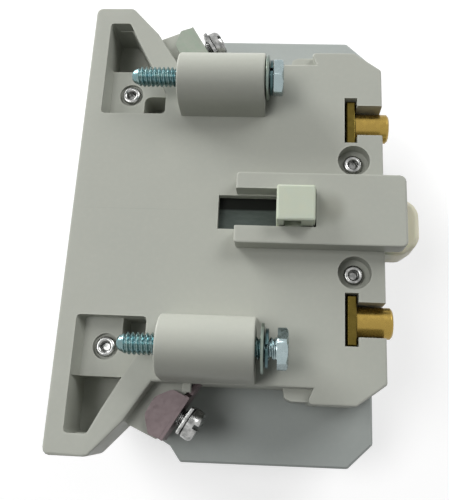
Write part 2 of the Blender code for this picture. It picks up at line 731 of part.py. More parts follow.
def barrier_outline(side):
    """The plate that keeps the two levels of terminals apart."""
    left = WING_ROOT_X - BARRIER_LEFT
    corner = WING_ROOT_X + BARRIER_CORNER
    corners = [
        (left, BODY_HALF - 2.0, 0.0),
        (left, BARRIER_HALF - 5.7, 0.6),
        (corner - 2.7, BARRIER_HALF - 3.2, 0.8),
        (corner, BARRIER_HALF + BARRIER_TAPER, 0.8),
        (BARRIER_END - BARRIER_CHAMFER_X, BARRIER_HALF, 1.0),
        (BARRIER_END, BARRIER_HALF - BARRIER_CHAMFER_Y, 1.0),
        (BARRIER_END, BODY_HALF - BLOCK_CHAMFER_Y - 2.0, 0.0),
        (REAR_END - BLOCK_CHAMFER_X - 1.0, BODY_HALF - 2.0, 0.0),
    ]
    return on_side(rounded(corners), side)


def make_rear_housing(material):
    """The rear shell with its barrier plate, plinths, rails and spring seat."""
    high = REAR_DEPTH - GAP / 2
    housing = prism("rear_housing", rear_outline(), 0.0, high, material, rim=0.01, rim_steps=1)
    for label, side in SIDES.items():
        fuse(housing, prism("barrier_" + label, barrier_outline(side),
                            high - BARRIER_THICK, high, rim=0.5, rim_steps=1, both_rims=True))
    cut(housing, prism("rear_cavity", cavity_outline(), WALL, high + 2.0))
    for label, side in SIDES.items():
        add_shelf(housing, label, side, "rear", SHELF_DROP, high - BARRIER_THICK + 1.2)
    add_runners(housing, "rear")
    seat = box_outline(SEAT_X - SEAT_THICK, SEAT_X, -SEAT_HALF, SEAT_HALF)
    fuse(housing, prism("spring_seat", seat, WALL - 1.0, spring_height() + SEAT_HALF))
    fuse(housing, cylinder_tool("spring_stub", (SEAT_X - 1.0, 0.0, spring_height()), (1, 0, 0),
                                STUB_RADIUS, STUB_LENGTH + 1.0, 16))
    for label, (x, y, _) in rivet_places().items():
        cut(housing, cylinder_tool("back_counterbore_" + label, (x, y, -1.0), (0, 0, 1),
                                   BACK_COUNTERBORE, BACK_COUNTERBORE_DEPTH + 1.0, 28))
    cut_rivet_holes(housing, "rear_rivet_hole_", -2.0, high + 1.0)
    return housing


def spring_height():
    """Height of the return spring's axis, midway between the levels."""
    return FACE / 2


def bridge_height(level):
    """Height of a bridge's middle."""
    return FACE - BRIDGE_DEPTH if level == "front" else BRIDGE_DEPTH


def nose_outline():
    """The slide's rounded nose, which pokes out of the right edge."""
    tip = BODY_LENGTH + NOSE_REACH
    half = [
        (CAGE_END - 1.0, NOSE_HALF, 0.0),
        (tip - 4.2, NOSE_HALF, 3.0),
        (tip - 1.0, NOSE_HALF - 2.2, 3.0),
        (tip, NOSE_HALF - 4.2, 3.0),
    ]
    return rounded(mirrored(half), 4)


def make_slide(material):
    """The moulded slide: cage, windows for the bridges, nose and button."""
    middle = ((CAGE_START + CAGE_END) / 2, 0.0, spring_height())
    cage = box_outline(CAGE_START, CAGE_END, -CAGE_HALF, CAGE_HALF)
    slide = prism("contact_slide", cage, CAGE_DEPTH, CAGE_TOP, material, middle,
                  rim=0.4, rim_steps=1, both_rims=True)
    fuse(slide, prism("nose", nose_outline(), CAGE_TOP - NOSE_THICK, CAGE_TOP, rim=NOSE_ROUND,
                      rim_steps=3, both_rims=True))
    button_end = BUTTON_START + BUTTON_LENGTH
    neck = box_outline(BUTTON_START + 0.4, button_end - 0.4, -NECK_HALF, NECK_HALF)
    fuse(slide, prism("neck", neck, CAGE_TOP - 1.0, FACE + 1.0))
    shoulder = box_outline(BUTTON_START - 0.4, button_end + 0.4, -SHIELD_HALF, SHIELD_HALF)
    fuse(slide, prism("shoulder", shoulder, CAGE_TOP - 0.7, SHIELD_LOW - GAP))
    reach = SLOT_HALF - GAP
    button = rounded([(BUTTON_START, -reach, 0.5), (button_end, -reach, 0.5),
                      (button_end, reach, 0.5), (BUTTON_START, reach, 0.5)], 2)
    fuse(slide, prism("button", button, FACE + GAP, FACE + BUTTON_HEIGHT, rim=0.5, rim_steps=2))
    notch = box_outline(BUTTON_START + 1.7, BUTTON_START + 5.6, -reach - 1.0, -reach + 1.2)
    cut(slide, prism("button_notch", notch, FACE + GUIDE_HEIGHT - 1.0, FACE + BUTTON_HEIGHT - 0.6))
    fuse(slide, cylinder_tool("slide_stub", (CAGE_START + 1.0, 0.0, spring_height()), (-1, 0, 0),
                              STUB_RADIUS, STUB_LENGTH + 1.0, 16))
    for level in LEVELS:
        left, right = window_span(level)
        half = BRIDGE_WIDTH / 2 + GAP
        opening = box_outline(left, right, bridge_height(level) - half,
                              bridge_height(level) + half)
        cut(slide, prism("bridge_window_" + level, opening, -CAGE_HALF - 1.0, CAGE_HALF + 1.0,
                         axis="Y"))
    return slide


def make_shield(material):
    """The dark strip under the actuator window, which the slide's neck carries along."""
    outline = box_outline(WINDOW_START - SHIELD_LAP, CAGE_END - 0.5, -SHIELD_HALF, SHIELD_HALF)
    high = SHIELD_LOW + SHIELD_THICK
    shield = prism("window_shield", outline, SHIELD_LOW, high, material,
                   (WINDOW_START, 0.0, SHIELD_LOW))
    hole = box_outline(BUTTON_START + 0.4 - GAP, BUTTON_START + BUTTON_LENGTH - 0.4 + GAP,
                       -NECK_HALF - GAP, NECK_HALF + GAP)
    cut(shield, prism("shield_hole", hole, SHIELD_LOW - 1.0, high + 1.0))


def window_span(level):
    """Left and right ends of the cage's window for a bridge."""
    if level == "front":
        return CAGE_START + 4.0, CLOSED_X + BRIDGE_THICK + WIPE + GAP
    return OPEN_X - GAP, CAGE_END - 2.5


def make_bridge(level, material):
    """A moving contact: a rounded strip with a domed contact at each end."""
    start = CLOSED_X if level == "front" else OPEN_X
    height = bridge_height(level)
    half = BRIDGE_WIDTH / 2
    slim = half - 0.5
    waist = CAGE_HALF + 2.0
    upper = [(waist, half, 0.3), (waist + 1.0, slim, 0.3), (BRIDGE_HALF, slim, BRIDGE_END)]
    right = [(y, height + z, r) for y, z, r in upper]
    right += [(y, height - z, r) for y, z, r in reversed(upper)]
    outline = rounded(right + [(-y, z, r) for y, z, r in reversed(right)])
    origin = (start, 0.0, height)
    name = level + "_bridge"
    bridge = prism(name, outline, start, start + BRIDGE_THICK, material, origin, axis="X")
    at, direction = start + 0.3, -1
    if level == "front":
        at, direction = start + BRIDGE_THICK - 0.3, 1
    for label, side in SIDES.items():
        fuse(bridge, dome_tool(name + "_dome_" + label, at, side, height, direction))


def dome_tool(name, x, side, height, direction):
    """A shallow domed contact, sunk 0.3 mm into what carries it."""
    profile = [(0.0, 0.0), (DOME_RADIUS, 0.0), (DOME_RADIUS, 0.45),
               (DOME_RADIUS * 0.7, 0.2 + DOME * 0.8), (0.0, 0.3 + DOME)]
    return turned(name, profile, (x, side * CONTACT_Y, height), (direction, 0, 0), None, 16)


def strip_mesh(stations, thickness, side):
    """A bent strip of sheet metal, from (point, low, high) stations along it."""
    path = [point for point, _, _ in stations]
    builder = bmesh.new()
    rings = []
    for index, (point, low, high) in enumerate(stations):
        ahead = path[min(index + 1, len(path) - 1)] - point
        behind = point - path[max(index - 1, 0)]
        first = (behind if behind.length else ahead).normalized()
        last = (ahead if ahead.length else behind).normalized()
        middle = (first + last).normalized()
        normal = Vector((-middle.y, middle.x))
        reach = normal * (thickness / 2 / normal.dot(Vector((-first.y, first.x))))
        corners = [(point + reach, low), (point - reach, low),
                   (point - reach, high), (point + reach, high)]
        rings.append([builder.verts.new((p.x, side * p.y, z)) for p, z in corners])
    for ring, after in zip(rings, rings[1:]):
        for corner in range(4):
            builder.faces.new((ring[corner], ring[corner - 1],
                               after[corner - 1], after[corner]))
    builder.faces.new(rings[0])
    builder.faces.new(rings[-1])
    return builder


def contact_stations(level):
    """The strip from the terminal plate to the pad that the bridge meets."""
    middle = PLATE_THICK / 2
    plate_low, plate_high = level_span(level, PLATE_TOP, PLATE_TOP + PLATE_WIDTH)
    strip_low, strip_high = level_span(level, PLATE_TOP + STRIP_DROP, PLATE_TOP + PLATE_WIDTH)
    run_low = bridge_height(level) - BRIDGE_WIDTH / 2
    run_high = bridge_height(level) + BRIDGE_WIDTH / 2
    along = along_to(CAVITY_HALF) + BEND_REACH
    pad = CLOSED_PAD + middle if level == "front" else OPEN_PAD - middle
    corner = Vector((pad, CONTACT_Y + CORNER_REACH[level]))
    wide_low = min(strip_low, run_low)
    wide_high = max(strip_high, run_high)
    return [
        (on_plate(-PLATE_OUT, middle), plate_low, plate_high),
        (on_plate(PLATE_END, middle), plate_low, plate_high),
        (on_plate(PLATE_END + 0.6, middle), strip_low, strip_high),
        (on_plate(along - 3.9, middle), strip_low, strip_high),
        (on_plate(along - 2.5, middle), wide_low, wide_high),
        (on_plate(along - 1.0, middle), run_low, run_high),
        (on_plate(along, middle), run_low, run_high),
        (corner, run_low, run_high),
        (Vector((pad, PAD_NEAR)), run_low, run_high),
    ]


def tab_outline(side):
    """The rounded tab that is folded flat beside the terminal plate."""
    corners = [
        (*on_plate(-PLATE_OUT, 0.4), 0.4),
        (*on_plate(-PLATE_OUT - 0.5, -2.1), 0.8),
        (*on_plate(-1.2, -5.2), 1.6),
        (*on_plate(3.2, -5.5), 2.6),
        (*on_plate(6.7, -3.0), 1.8),
        (*on_plate(7.0, 0.4), 0.4),
    ]
    return on_side(rounded(corners), side)


def make_fixed_contact(level, label, side, material):
    """A terminal plate with its tab, and the strip that runs in to the pad."""
    name = "fixed_contact_" + level + "_" + label
    contact = make_object(name, strip_mesh(contact_stations(level), PLATE_THICK, side), material)
    height = bridge_height(level)
    low, high = level_span(level, PLATE_TOP - 0.05, PLATE_TOP + TAB_THICK)
    fuse(contact, prism(name + "_tab", tab_outline(side), low, high))
    pad = CLOSED_PAD + 0.3 if level == "front" else OPEN_PAD - 0.3
    fuse(contact, dome_tool(name + "_dome", pad, side, height, -1 if level == "front" else 1))
    centre = on_plate(CLAMP_OFFSET, -1.0)
    axis = (PLATE_NORMAL.x, side * PLATE_NORMAL.y, 0.0)
    hole = cylinder_tool(name + "_hole", (centre.x, side * centre.y, clamp_height(level)),
                         axis, CLAMP_RADIUS + GAP, 4.0, 20)
    cut(contact, hole)
    return contact


def clamp_height(level):
    """Height of a terminal screw's axis."""
    return FACE - CLAMP_DEPTH if level == "front" else CLAMP_DEPTH


def make_clamp(level, label, side, steel, zinc):
    """A terminal screw and the square washer that clamps the wire."""
    name = level + "_" + label
    axis = Vector((PLATE_NORMAL.x, side * PLATE_NORMAL.y, 0.0))
    base = on_plate(CLAMP_OFFSET, 0.0)
    at = Vector((base.x, side * base.y, clamp_height(level)))
    washer_low = PLATE_THICK + GAP + CLAMP_OPEN
    washer_high = washer_low + CLAMP_WASHER_THICK
    half = CLAMP_WASHER / 2
    tilt = Matrix.Rotation(math.atan2(axis.y, axis.x), 4, "Z")
    square = rounded([(-half, -half, 0.5), (half, -half, 0.5), (half, half, 0.5),
                      (-half, half, 0.5)], 2)
    builder = prism_mesh(square, washer_low, washer_high, axis="X")
    bmesh.ops.transform(builder, matrix=Matrix.Translation(at) @ tilt, verts=builder.verts)
    washer = make_object("clamp_washer_" + name, builder, zinc, at)
    cut(washer, cylinder_tool("washer_hole_" + name, at + axis * (washer_low - 1.0), axis,
                              CLAMP_RADIUS + GAP, CLAMP_WASHER_THICK + 2.0, 20))
    head_low = washer_high + THIN_GAP
    head_high = head_low + CLAMP_HEAD_THICK
    tip = CLAMP_OPEN - CLAMP_REACH
    profile = [
        (0.0, tip), (CLAMP_RADIUS - 0.5, tip), (CLAMP_RADIUS, tip + 0.6),
        (CLAMP_RADIUS, head_low), (CLAMP_HEAD, head_low), (CLAMP_HEAD, head_high - 1.0),
        (CLAMP_HEAD - 0.8, head_high - 0.2), (0.0, head_high),
    ]
    screw = turned("terminal_screw_" + name, profile, at, axis, steel, 20)
    smooth(screw)
    slot = box_outline(-CLAMP_HEAD - 1.0, CLAMP_HEAD + 1.0, -CLAMP_SLOT / 2, CLAMP_SLOT / 2)
    builder = prism_mesh(slot, head_high - 1.1, head_high + 1.0, axis="X")
    bmesh.ops.transform(builder, matrix=Matrix.Translation(at) @ tilt, verts=builder.verts)
    cut(screw, make_object("terminal_slot_" + name, builder, None, at))


def make_rivet(label, x, y, seat, material):
    """A tubular rivet with a rolled head at each end."""
    top = FACE - seat + GAP
    bottom = BACK_COUNTERBORE_DEPTH - GAP
    upper = [
        (RIVET_BORE, top + RIVET_HEAD_THICK * 0.55),
        (RIVET_BORE + 0.45, top + RIVET_HEAD_THICK),
        (RIVET_HEAD - 0.5, top + RIVET_HEAD_THICK * 0.9),
        (RIVET_HEAD - 0.1, top),
        (RIVET_SHANK, top),
    ]
    lower = [(radius, bottom + top - height) for radius, height in reversed(upper)]
    rivet = turned("rivet_" + label, upper + lower, (x, y, 0.0), (0, 0, 1), material, 16,
                   closed=True)
    smooth(rivet)


def make_insert(label, side, material):
    """A brass insert: a flange in the T slot and a round spigot."""
    left = FLANGE_X + FLANGE_PLAY
    right = FLANGE_X + FLANGE_SLOT - GAP
    low = face_down(SLOT_FLOOR - GAP)
    high = face_down(FLANGE_DROP)
    centre = side * INSERT_Y
    half = FLANGE_HALF - GAP
    plate = box_outline(left, right, centre - half, centre + half)
    insert = prism("insert_" + label, plate, low, high, material,
                   (left, centre, face_down(SPIGOT_AXIS)), rim=0.25, rim_steps=1)
    length = BODY_LENGTH + SPIGOT_REACH - right + 0.5
    profile = [(0.0, 0.0), (SPIGOT_RADIUS, 0.0), (SPIGOT_RADIUS, length - 0.5),
               (SPIGOT_RADIUS - 0.5, length), (0.0, length)]
    at = (right - 0.5, centre, face_down(SPIGOT_AXIS))
    fuse(insert, turned("spigot_" + label, profile, at, (1, 0, 0), None, 32))
    mouth = BODY_LENGTH + SPIGOT_REACH
    cut(insert, cylinder_tool("spigot_bore_" + label, (mouth - SPIGOT_BORE_DEPTH, centre, at[2]),
                              (1, 0, 0), SPIGOT_BORE, SPIGOT_BORE_DEPTH + 1.0, 20))


def head_seat(side):
    """Where the underside of a captive screw's head is."""
    seated = BARREL_END + THIN_GAP + WASHER_THICK + THIN_GAP + LOCK_THICK + THIN_GAP
    return seated if side == UPPER else seated + LOWER_SLIP


def cross_outline():
    """The cross recess of a head, round its middle."""
    long, short = RECESS_REACH, RECESS_HALF
    quarter = [(long, short), (short, short), (short, long)]
    outline = []
    for turn in range(4):
        spin = Matrix.Rotation(math.radians(90 * turn), 2)
        outline += [spin @ Vector(point) for point in quarter]
    return [(point.x, point.y) for point in outline]


def make_captive_screw(label, side, material):
    """A captive hexagon screw with a cross recess and a tapered tip."""
    seat = head_seat(side)
    axis_point = (seat, side * SCREW_Y, SCREW_Z)
    radius = SCREW_DIAMETER / 2
    profile = [(0.0, -SCREW_LENGTH), (radius * 0.45, -SCREW_LENGTH),
               (radius * 0.65, -SCREW_LENGTH + SCREW_TIP * 0.2),
               (radius, -SCREW_LENGTH + SCREW_TIP), (radius, 0.5), (0.0, 0.5)]
    screw = turned("mounting_screw_" + label, profile, axis_point, (1, 0, 0), material, 24)
    corner = HEAD_FLATS / 2 / math.cos(math.pi / 6)
    turns = [math.radians(60 * step - side * HEAD_TURN) for step in range(6)]
    hexagon = [(axis_point[1] + corner * math.cos(turn), SCREW_Z + corner * math.sin(turn))
               for turn in turns]
    fuse(screw, prism("head_" + label, hexagon, seat, seat + HEAD_THICK, axis="X",
                      rim=0.35, rim_steps=1))
    recess = [(axis_point[1] + y, SCREW_Z + z) for y, z in cross_outline()]
    cut(screw, prism("head_recess_" + label, recess, seat + HEAD_THICK - RECESS_DEPTH,
                     seat + HEAD_THICK + 1.0, axis="X"))
    smooth(screw)


def ring_profile(inner, outer, low, high):
    """A washer's section."""
    return [(inner, low), (outer, low), (outer, high), (inner, high)]


def make_washers(label, side, material):
    """The flat washer and the split lock washer on a captive screw."""
    y = side * SCREW_Y
    inner = SCREW_DIAMETER / 2 + BORE_CLEARANCE
    flat = BARREL_END + THIN_GAP + (0.0 if side == UPPER else WASHER_SLIP)
    at = (flat, y, SCREW_Z)
    washer = turned("flat_washer_" + label, ring_profile(inner, WASHER_DIAMETER / 2, 0.0,
                                                         WASHER_THICK),
                    at, (1, 0, 0), material, 28, closed=True)
    smooth(washer)
    lock = flat + WASHER_THICK + THIN_GAP
    at = (lock, y, SCREW_Z)
    ring = turned("lock_washer_" + label, ring_profile(inner, LOCK_DIAMETER / 2, 0.0, LOCK_THICK),
                  at, (1, 0, 0), material, 32, closed=True)
    smooth(ring)
    split = box_outline(y - LOCK_SPLIT / 2, y + LOCK_SPLIT / 2, SCREW_Z, SCREW_Z + LOCK_DIAMETER)
    cut(ring, prism("lock_split_" + label, split, lock - 1.0, lock + LOCK_THICK + 1.0, axis="X"))


def make_coil(name, start, end, height, radius, wire, turns, material):
    """A compression spring along X, from its closed first turn to its last."""
    curve = bpy.data.curves.new(name, "CURVE")
    curve.dimensions = "3D"
    curve.bevel_depth = wire / 2 * MM
    curve.bevel_resolution = 1
    curve.use_fill_caps = True
    per_turn = 10
    closed_end = 0.75
    count = int((turns + 2 * closed_end) * per_turn)
    spline = curve.splines.new("POLY")
    spline.points.add(count)
    length = end - start - wire
    for index in range(count + 1):
        turn = index / per_turn
        share = min(max((turn - closed_end) / turns, 0.0), 1.0)
        closed_pitch = wire * 1.15 / closed_end
        lead = min(turn, closed_end) * closed_pitch
        tail = max(turn - turns - closed_end, 0.0) * closed_pitch
        open_length = length - 2 * closed_end * closed_pitch
        along = start + wire / 2 + lead + share * open_length + tail
        angle = math.tau * turn
        spline.points[index].co = (along * MM, radius * math.cos(angle) * MM,
                                   (height + radius * math.sin(angle)) * MM, 1.0)
    curve.materials.append(material)
    coil = bpy.data.objects.new(name, curve)
    coil.parent = bpy.data.objects["block"]
    bpy.context.collection.objects.link(coil)


def make_springs(material):
    """The return spring and the two contact springs."""
    make_coil("return_spring", SEAT_X + GAP, CAGE_START - GAP, spring_height(), RETURN_RADIUS,
              RETURN_WIRE, RETURN_TURNS, material)
    left, _ = window_span("front")
    make_coil("front_bridge_spring", left + GAP, CLOSED_X - GAP, bridge_height("front"),
              CONTACT_SPRING_RADIUS, CONTACT_WIRE, CONTACT_TURNS, material)
    _, right = window_span("rear")
    make_coil("rear_bridge_spring", OPEN_X + BRIDGE_THICK + GAP, right - GAP,
              bridge_height("rear"), CONTACT_SPRING_RADIUS, CONTACT_WIRE, CONTACT_TURNS, material)


def build():
    """Makes every piece of the block."""
    clear_scene()
    block = bpy.data.objects.new("block", None)
    block.location.x = -CENTRE_X * MM
    bpy.context.collection.objects.link(block)
    grey = make_material("grey_moulding", (0.392, 0.402, 0.356), 0.5)
    nylon = make_material("natural_nylon", (0.62, 0.64, 0.5), 0.45)
    dark = make_material("dark_fibre", (0.07, 0.09, 0.085), 0.7)
    brass = make_material("brass", (0.42, 0.24, 0.06), 0.32, 1.0)
    zinc = make_material("blue_zinc", (0.45, 0.58, 0.62), 0.28, 1.0)
    nickel = make_material("plated_steel", (0.6, 0.6, 0.58), 0.25, 1.0)
    spring_steel = make_material("spring_steel", (0.5, 0.5, 0.5), 0.3, 1.0)
    copper = make_material("plated_contact", (0.6, 0.58, 0.5), 0.35, 1.0)
    make_front_housing(grey)
    make_rear_housing(grey)
    make_slide(nylon)
    make_shield(dark)
    for level in LEVELS:
        make_bridge(level, copper)
        for label, side in SIDES.items():
            make_fixed_contact(level, label, side, copper)
            make_clamp(level, label, side, nickel, zinc)
    for label, (x, y, seat) in rivet_places().items():
        make_rivet(label, x, y, seat, nickel)
    for label, side in SIDES.items():
        make_insert(label, side, brass)
        make_captive_screw(label, side, zinc)
        make_washers(label, side, zinc)
    make_springs(spring_steel)


build()
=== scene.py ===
"""Looks of the auxiliary contact block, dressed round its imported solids."""

import json
import math

import bmesh
import bpy
from mathutils import Matrix, Vector

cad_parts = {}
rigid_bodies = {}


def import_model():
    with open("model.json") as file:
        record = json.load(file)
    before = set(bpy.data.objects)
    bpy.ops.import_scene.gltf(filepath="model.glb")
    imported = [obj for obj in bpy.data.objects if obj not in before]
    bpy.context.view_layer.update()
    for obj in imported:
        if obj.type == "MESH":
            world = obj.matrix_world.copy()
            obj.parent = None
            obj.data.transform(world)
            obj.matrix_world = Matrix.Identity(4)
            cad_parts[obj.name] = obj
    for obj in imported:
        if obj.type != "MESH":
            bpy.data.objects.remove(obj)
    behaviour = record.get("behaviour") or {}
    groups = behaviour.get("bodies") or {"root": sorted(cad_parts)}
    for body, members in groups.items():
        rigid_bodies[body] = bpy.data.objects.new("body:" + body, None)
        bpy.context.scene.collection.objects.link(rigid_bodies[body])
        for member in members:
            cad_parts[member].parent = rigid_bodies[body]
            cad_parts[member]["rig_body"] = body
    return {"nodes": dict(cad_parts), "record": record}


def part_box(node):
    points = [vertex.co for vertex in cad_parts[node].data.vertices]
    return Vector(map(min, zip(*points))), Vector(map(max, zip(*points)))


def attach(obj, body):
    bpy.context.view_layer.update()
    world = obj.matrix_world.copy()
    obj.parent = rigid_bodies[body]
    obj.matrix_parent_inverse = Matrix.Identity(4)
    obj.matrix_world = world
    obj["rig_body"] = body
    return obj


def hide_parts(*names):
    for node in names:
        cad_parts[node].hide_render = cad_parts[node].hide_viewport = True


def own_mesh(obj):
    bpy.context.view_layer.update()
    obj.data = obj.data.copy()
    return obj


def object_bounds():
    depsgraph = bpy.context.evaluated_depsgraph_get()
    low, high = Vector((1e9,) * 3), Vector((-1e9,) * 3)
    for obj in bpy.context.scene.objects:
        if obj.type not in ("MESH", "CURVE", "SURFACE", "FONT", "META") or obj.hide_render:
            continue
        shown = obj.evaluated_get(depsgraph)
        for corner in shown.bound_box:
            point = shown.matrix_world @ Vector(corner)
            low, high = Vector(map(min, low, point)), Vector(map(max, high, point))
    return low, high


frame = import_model()
cad_low, cad_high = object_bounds()
nodes = frame["nodes"]

MM = 0.001
IMAGE_WIDTH = 449
IMAGE_HEIGHT = 500
FOCAL_PIXELS = 643.6
PRINCIPAL_X = 240.9
PRINCIPAL_Y = 220.4
CAMERA_FROM_FACE = Vector((50.84, -45.65, 143.76))
CAMERA_RIGHT = Vector((0.99734, 0.04501, -0.05737))
CAMERA_BACK = Vector((0.06800, -0.28985, 0.95465))
FACE_Z = cad_high.z - 0.01155     # the mounting face
SIDES = {"upper": 1, "lower": -1}
HEAD_TURN = 12.5                  # degrees that the hexagon heads lean outwards
HEAD_FLATS = 7.94
HEAD_THICK = 2.3
THREAD_RADIUS = 2.415
THREAD_PITCH = 1.058
THREAD_DEPTH = 0.62
PAN_RADIUS = 3.6
PAN_THICK = 2.8
CLAMP_PITCH = 0.794
CLAMP_THREAD_DEPTH = 0.42
WASHER_BORE_RADIUS = 2.72
RIVET_BORE_RADIUS = 1.05
RIVET_HEAD = 0.9
SURROUND_LIGHT = 0.14


def place(x, y, out=0.0):
    """A point in millimetres from the foot face, the middle plane and the mounting face."""
    return Vector((cad_low.x + x * MM, y * MM, FACE_Z + out * MM))


def add_camera():
    """The photograph's camera, placed from the foot face's middle on the mounting face."""
    data = bpy.data.cameras.new("camera")
    camera = bpy.data.objects.new("camera", data)
    bpy.context.scene.collection.objects.link(camera)
    back = CAMERA_BACK.normalized()
    right = (CAMERA_RIGHT - back * CAMERA_RIGHT.dot(back)).normalized()
    up = back.cross(right)
    eye = place(*CAMERA_FROM_FACE)
    camera.matrix_world = Matrix((
        (right.x, up.x, back.x, eye.x),
        (right.y, up.y, back.y, eye.y),
        (right.z, up.z, back.z, eye.z),
        (0.0, 0.0, 0.0, 1.0),
    ))
    data.sensor_fit = "HORIZONTAL"
    data.sensor_width = 36.0
    data.lens = FOCAL_PIXELS / IMAGE_WIDTH * data.sensor_width
    data.shift_x = (IMAGE_WIDTH / 2 - PRINCIPAL_X) / IMAGE_WIDTH
    data.shift_y = (PRINCIPAL_Y - IMAGE_HEIGHT / 2) / IMAGE_WIDTH
    data.clip_start = 0.01
    data.clip_end = 10.0
    bpy.context.scene.camera = camera


# Materials


class Finish:
    """A Principled material whose colour, gloss and relief are built up in steps."""

    def __init__(self, name, colour, roughness, metallic=0.0):
        self.material = bpy.data.materials.new(name)
        self.material.use_nodes = True
        self.tree = self.material.node_tree
        self.shader = self.tree.nodes["Principled BSDF"]
        self.shader.inputs["Base Color"].default_value = (*colour, 1.0)
        self.shader.inputs["Roughness"].default_value = roughness
        self.shader.inputs["Metallic"].default_value = metallic
        self.colour = None
        self.flat_colour = (*colour, 1.0)
        self.coords = self.node("ShaderNodeTexCoord").outputs["Object"]

    def node(self, kind, **settings):
        made = self.tree.nodes.new(kind)
        for key, value in settings.items():
            setattr(made, key, value)
        return made

    def link(self, source, target):
        self.tree.links.new(source, target)

    def noise(self, size, detail=3.0, stretch=(1.0, 1.0, 1.0)):
        """Noise whose grains are about this many millimetres wide."""
        spread = self.node("ShaderNodeMapping")
        spread.inputs["Scale"].default_value = stretch
        self.link(self.coords, spread.inputs["Vector"])
        grain = self.node("ShaderNodeTexNoise")
        grain.inputs["Scale"].default_value = 1.0 / (size * MM)
        grain.inputs["Detail"].default_value = detail
        self.link(spread.outputs[0], grain.inputs["Vector"])
        return grain.outputs["Fac"]

    def span(self, value, low, high, from_low=0.3, from_high=0.7):
        """Stretches a value to another range."""
        scale = self.node("ShaderNodeMapRange")
        scale.inputs["From Min"].default_value = from_low
        scale.inputs["From Max"].default_value = from_high
        scale.inputs["To Min"].default_value = low
        scale.inputs["To Max"].default_value = high
        self.link(value, scale.inputs["Value"])
        return scale.outputs[0]

    def spot(self, centre, reach, soft=0.5):
        """A mask round a point: 1 inside an ellipsoid in millimetres, fading at its edge."""
        around = self.node("ShaderNodeMapping", vector_type="TEXTURE")
        around.inputs["Location"].default_value = centre
        around.inputs["Scale"].default_value = [value * MM for value in reach]
        self.link(self.coords, around.inputs["Vector"])
        length = self.node("ShaderNodeVectorMath", operation="LENGTH")
        self.link(around.outputs[0], length.inputs[0])
        fade = self.node("ShaderNodeMapRange", interpolation_type="SMOOTHSTEP")
        fade.inputs["From Min"].default_value = 1.0
        fade.inputs["From Max"].default_value = 1.0 - soft
        self.link(length.outputs["Value"], fade.inputs["Value"])
        return fade.outputs[0]

    def tint(self, mask, colour, amount=1.0):
        """Mixes a colour in where the mask is high."""
        mix = self.node("ShaderNodeMix", data_type="RGBA")
        factor, first, second = mix.inputs[0], mix.inputs[6], mix.inputs[7]
        if amount < 1.0:
            mask = self.span(mask, 0.0, amount, 0.0, 1.0)
        self.link(mask, factor)
        if self.colour is None:
            first.default_value = self.flat_colour
        else:
            self.link(self.colour, first)
        second.default_value = (*colour, 1.0)
        self.colour = mix.outputs[2]
        self.link(self.colour, self.shader.inputs["Base Color"])
        return self

    def gloss(self, mask, low, high):
        """Varies the roughness."""
        self.link(self.span(mask, low, high), self.shader.inputs["Roughness"])
        return self

    def beyond(self, axis, value, soft=0.1):
        """A mask: 1 past a plane across an axis, at this many metres."""
        parts = self.node("ShaderNodeSeparateXYZ")
        self.link(self.coords, parts.inputs[0])
        return self.span(parts.outputs[axis], 0.0, 1.0, value - soft * MM, value + soft * MM)

    def worn_and_highlit(self, colour, amount, reach=0.9):
        """Lightens the outer edges: wear, and painted highlight along the rims."""
        inside = self.node("ShaderNodeAmbientOcclusion", inside=True, samples=6)
        inside.inputs["Distance"].default_value = reach * MM
        mask = self.span(inside.outputs["AO"], 1.0, 0.0, 0.5, 0.95)
        return self.tint(mask, colour, amount)

    def relief(self, *heights):
        """Bump from (mask, millimetres) pairs."""
        total = None
        for mask, depth in heights:
            part = self.node("ShaderNodeMath", operation="MULTIPLY")
            self.link(mask, part.inputs[0])
            part.inputs[1].default_value = depth * MM
            if total is None:
                total = part.outputs[0]
                continue
            both = self.node("ShaderNodeMath", operation="ADD")
            self.link(total, both.inputs[0])
            self.link(part.outputs[0], both.inputs[1])
            total = both.outputs[0]
        bump = self.node("ShaderNodeBump")
        bump.inputs["Distance"].default_value = 1.0
        self.link(total, bump.inputs["Height"])
        self.link(bump.outputs[0], self.shader.inputs["Normal"])
        return self


def moulding(name, colour, dark, pale):
    """Thermoset moulding: a satin grey with fine grain and faint flow mottling."""
    finish = Finish(name, colour, 0.46)
    finish.shader.inputs["Specular IOR Level"].default_value = 0.25
    finish.tint(finish.span(finish.noise(14.0, 2.0), 0.0, 1.0), dark, 0.5)
    finish.tint(finish.span(finish.noise(1.2, 4.0), 0.0, 1.0, 0.45, 0.75), pale, 0.35)
    # lighter outer edges: wear, with painted highlight along the rims
    finish.worn_and_highlit(tuple(value * 1.3 for value in colour), 0.4, 0.6)
    finish.gloss(finish.noise(3.0), 0.4, 0.55)
    finish.relief((finish.noise(0.35, 2.0), 0.006), (finish.noise(9.0, 1.0), 0.03))
    return finish


def front_moulding():
    """The front housing's grey, with a soft darker patch beside the button and a faint seam."""
    finish = moulding("grey_moulding", (0.392, 0.402, 0.356), (0.372, 0.386, 0.345),
                      (0.42, 0.428, 0.378))
    # a soft darker patch just past the button
    dark_patch = finish.spot(place(61.2, 0.0, 4.6), (4.6, 5.0, 2.5), soft=0.75)
    finish.tint(dark_patch, (0.26, 0.265, 0.225), 0.8)
    seam = finish.spot(place(16.0, 0.3, 0.0), (22.0, 0.14, 3.0), soft=0.9)
    finish.tint(seam, (0.3, 0.31, 0.28), 0.35)
    return finish.material


def rear_moulding():
    """The rear housing's cooler grey."""
    return moulding("rear_moulding", (0.375, 0.402, 0.385), (0.35, 0.38, 0.368),
                    (0.4, 0.425, 0.405)).material


